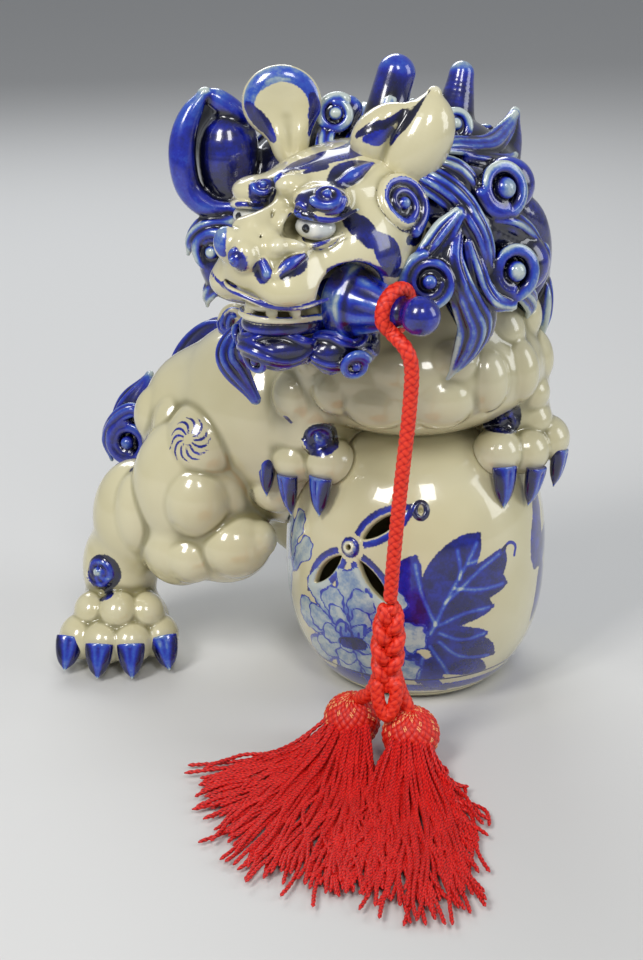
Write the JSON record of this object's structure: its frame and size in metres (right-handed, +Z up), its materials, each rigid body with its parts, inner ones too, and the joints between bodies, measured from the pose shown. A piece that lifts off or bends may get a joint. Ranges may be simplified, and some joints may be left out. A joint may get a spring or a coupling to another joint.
{
  "type": "foo dog statue",
  "caption": "Glazed guardian lion figure standing with its forepaws on a hollow pierced ball, a bar in its mouth, and a red braided cord with tassels hanging from the bar.",
  "frame": {"origin": "centre of the ball's flat foot, on the surface that the figure stands on", "axes": "+Z up; the lion's body runs from its rump at -X to its chest over the ball, its head turns towards -X and -Y, and the cord hangs on the -Y side"},
  "size_m": [0.18, 0.2337, 0.2207],
  "materials": {
    "ivory_glaze": "clear glossy glaze over greenish ivory porcelain, painted in cobalt under the glaze",
    "cobalt_glaze": "clear glossy glaze over cobalt blue washes, nearly black where it pools, pale on the ridges",
    "eye_glaze": "clear glossy glaze over white porcelain with a painted black pupil",
    "red_silk": "braided and twisted red rayon with gold thread in the tassel heads"
  },
  "bodies": {
    "root": {"ball_bowl": "ivory_glaze", "ball_dome": "ivory_glaze", "ball_foot": "ivory_glaze", "bar_spiral": "cobalt_glaze", "cord": "red_silk", "cord_knot": "red_silk", "crescent_curl": "cobalt_glaze", "crown_curl": "cobalt_glaze", "far_mane_curl": "cobalt_glaze", "far_mane_lobe": "cobalt_glaze", "front_crest_tuft": "cobalt_glaze", "head": "ivory_glaze", "hook_curl": "cobalt_glaze", "left_beard_curl": "cobalt_glaze", "left_ear": "ivory_glaze", "left_eye": "eye_glaze", "left_foreclaw_1": "cobalt_glaze", "left_foreclaw_2": "cobalt_glaze", "left_foreclaw_3": "cobalt_glaze", "left_foreleg": "ivory_glaze", "left_hind_claw_1": "cobalt_glaze", "left_hind_claw_2": "cobalt_glaze", "left_hind_claw_3": "cobalt_glaze", "left_hind_claw_4": "cobalt_glaze", "left_hind_leg": "ivory_glaze", "left_tassel_head": "red_silk", "left_tassel_leg": "red_silk", "left_tassel_skirt": "red_silk", "lower_jaw": "ivory_glaze", "lower_mane_lock": "cobalt_glaze", "mane_cap": "cobalt_glaze", "middle_beard_curl": "cobalt_glaze", "middle_crest_tuft": "cobalt_glaze", "middle_mane_lock": "cobalt_glaze", "middle_mane_spiral": "cobalt_glaze", "mouth_bar": "cobalt_glaze", "outer_mane_lock": "cobalt_glaze", "rear_crest_tuft": "cobalt_glaze", "right_beard_curl": "cobalt_glaze", "right_ear": "ivory_glaze", "right_eye": "eye_glaze", "right_foreclaw_1": "cobalt_glaze", "right_foreclaw_2": "cobalt_glaze", "right_foreclaw_3": "cobalt_glaze", "right_foreleg": "ivory_glaze", "right_hind_claw_1": "cobalt_glaze", "right_hind_claw_2": "cobalt_glaze", "right_hind_claw_3": "cobalt_glaze", "right_hind_claw_4": "cobalt_glaze", "right_hind_leg": "ivory_glaze", "right_tassel_head": "red_silk", "right_tassel_leg": "red_silk", "right_tassel_skirt": "red_silk", "tail_lock": "cobalt_glaze", "tail_plume": "cobalt_glaze", "tongue": "ivory_glaze", "torso": "ivory_glaze", "upper_mane_lock": "cobalt_glaze", "upper_mane_spiral": "cobalt_glaze"}
  },
  "joints": []
}
